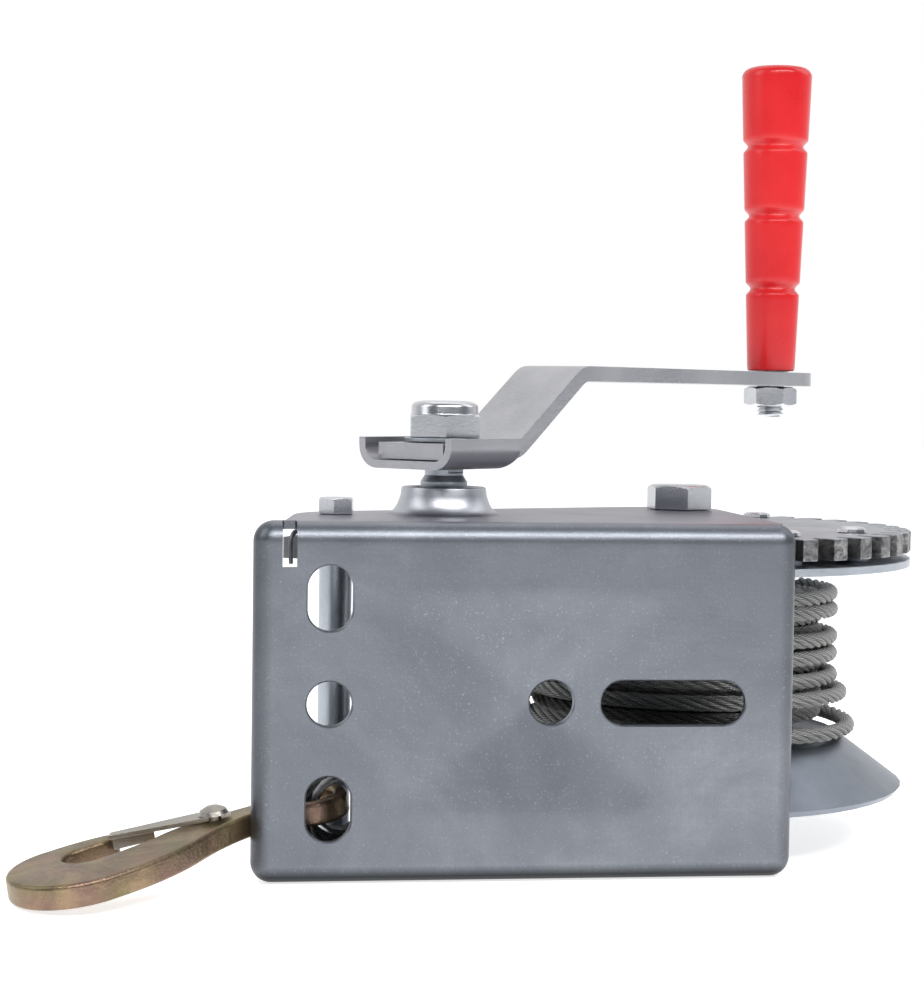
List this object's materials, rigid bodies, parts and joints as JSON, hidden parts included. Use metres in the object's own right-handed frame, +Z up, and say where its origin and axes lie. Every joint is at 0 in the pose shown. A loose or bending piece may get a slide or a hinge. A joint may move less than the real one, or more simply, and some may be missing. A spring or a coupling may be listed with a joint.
{
  "type": "boat trailer winch",
  "caption": "Geared hand winch in a bent sheet-steel frame, with a wire rope drum, ratchet pawl, folding-latch hook and a cranked handle with a turning grip.",
  "frame": {"origin": "underside of the lower side plate, at the middle of the base plate's width, 30 mm behind the base plate's face", "axes": "+Z up along the crank shaft; -Y out of the base plate, towards the winch post; +X towards the drum"},
  "size_m": [0.2853, 0.2265, 0.2654],
  "materials": {
    "zinc": "clear zinc plate, satin",
    "bright_zinc": "bright zinc plate",
    "bare_steel": "dull plated, oiled",
    "yellow_zinc": "yellow chromate over zinc",
    "wire_rope": "galvanised stranded wire",
    "bronze": "sintered, oiled",
    "nylon": "natural",
    "red_plastic": "smooth gloss"
  },
  "bodies": {
    "frame": {"frame": "zinc", "tie_bar": "zinc", "tie_bar_bolt": "bright_zinc", "tie_bar_screw": "bright_zinc", "upper_shaft_bush": "bronze", "lower_shaft_bush": "bronze", "drum_axle_bolt": "bright_zinc", "drum_axle_nut": "bright_zinc", "drum_axle_washer": "zinc", "pawl_spring": "bright_zinc", "pawl_clip": "bare_steel", "rope_lead": "wire_rope", "rope_eye": "wire_rope", "rope_thimble": "zinc", "rope_ferrule": "zinc"},
    "drum": {"drum_tube": "zinc", "upper_flange": "zinc", "lower_flange": "zinc", "drum_gear": "zinc", "gear_rivet_1": "bright_zinc", "gear_rivet_2": "bright_zinc", "gear_rivet_3": "bright_zinc", "gear_rivet_4": "bright_zinc", "gear_rivet_5": "bright_zinc", "gear_rivet_6": "bright_zinc", "drum_upper_bush": "nylon", "drum_lower_bush": "nylon", "rope_clamp": "zinc", "rope_clamp_bolt_1": "bright_zinc", "rope_clamp_bolt_2": "bright_zinc", "rope_tail": "wire_rope", "rope_winding": "wire_rope"},
    "crank": {"crank_shaft": "zinc", "drive_pinion": "bare_steel", "hub_tray": "zinc", "crank_arm": "zinc", "crank_washer": "zinc", "crank_nut": "bright_zinc", "crank_nut_insert": "nylon", "grip_spindle": "bright_zinc", "grip_nut": "bright_zinc"},
    "grip": {"grip": "red_plastic"},
    "pawl": {"pawl": "bare_steel"},
    "hook": {"hook": "yellow_zinc", "latch_rivet": "zinc"},
    "latch": {"hook_latch": "yellow_zinc"}
  },
  "joints": [
    {"name": "drum_spin", "type": "hinge", "parent": "frame", "child": "drum", "pos_m": [0.06229, 0.05316, 0.05], "axis": [0, 0, 1], "continuous": true},
    {"name": "crank_spin", "type": "hinge", "parent": "frame", "child": "crank", "pos_m": [-0.02025, 0.01727, 0.05], "axis": [0, 0, 1], "continuous": true},
    {"name": "grip_spin", "type": "hinge", "parent": "crank", "child": "grip", "pos_m": [0.11782, 0.14692, 0.2], "axis": [0, 0, 1], "continuous": true},
    {"name": "pawl_hinge", "type": "hinge", "parent": "frame", "child": "pawl", "pos_m": [-0.054, 0.009, 0.097], "axis": [0, 0, 1], "range_deg": [0, 10]},
    {"name": "hook_swing", "type": "hinge", "parent": "frame", "child": "hook", "pos_m": [-0.0531, -0.00785, 0.0195], "axis": [-0.4695, 0.8829, 0], "range_deg": [0, 25]},
    {"name": "latch_hinge", "type": "hinge", "parent": "hook", "child": "latch", "pos_m": [-0.0899, -0.02203, 0.01447], "axis": [-0.1457, -0.0775, 0.9863], "range_deg": [0, 18], "stiffness_Nm_per_rad": 0.01, "springref_deg": -2.86}
  ],
  "couplings": [
    {"joint": "crank_spin", "follows": "drum_spin", "ratio": -4}
  ]
}
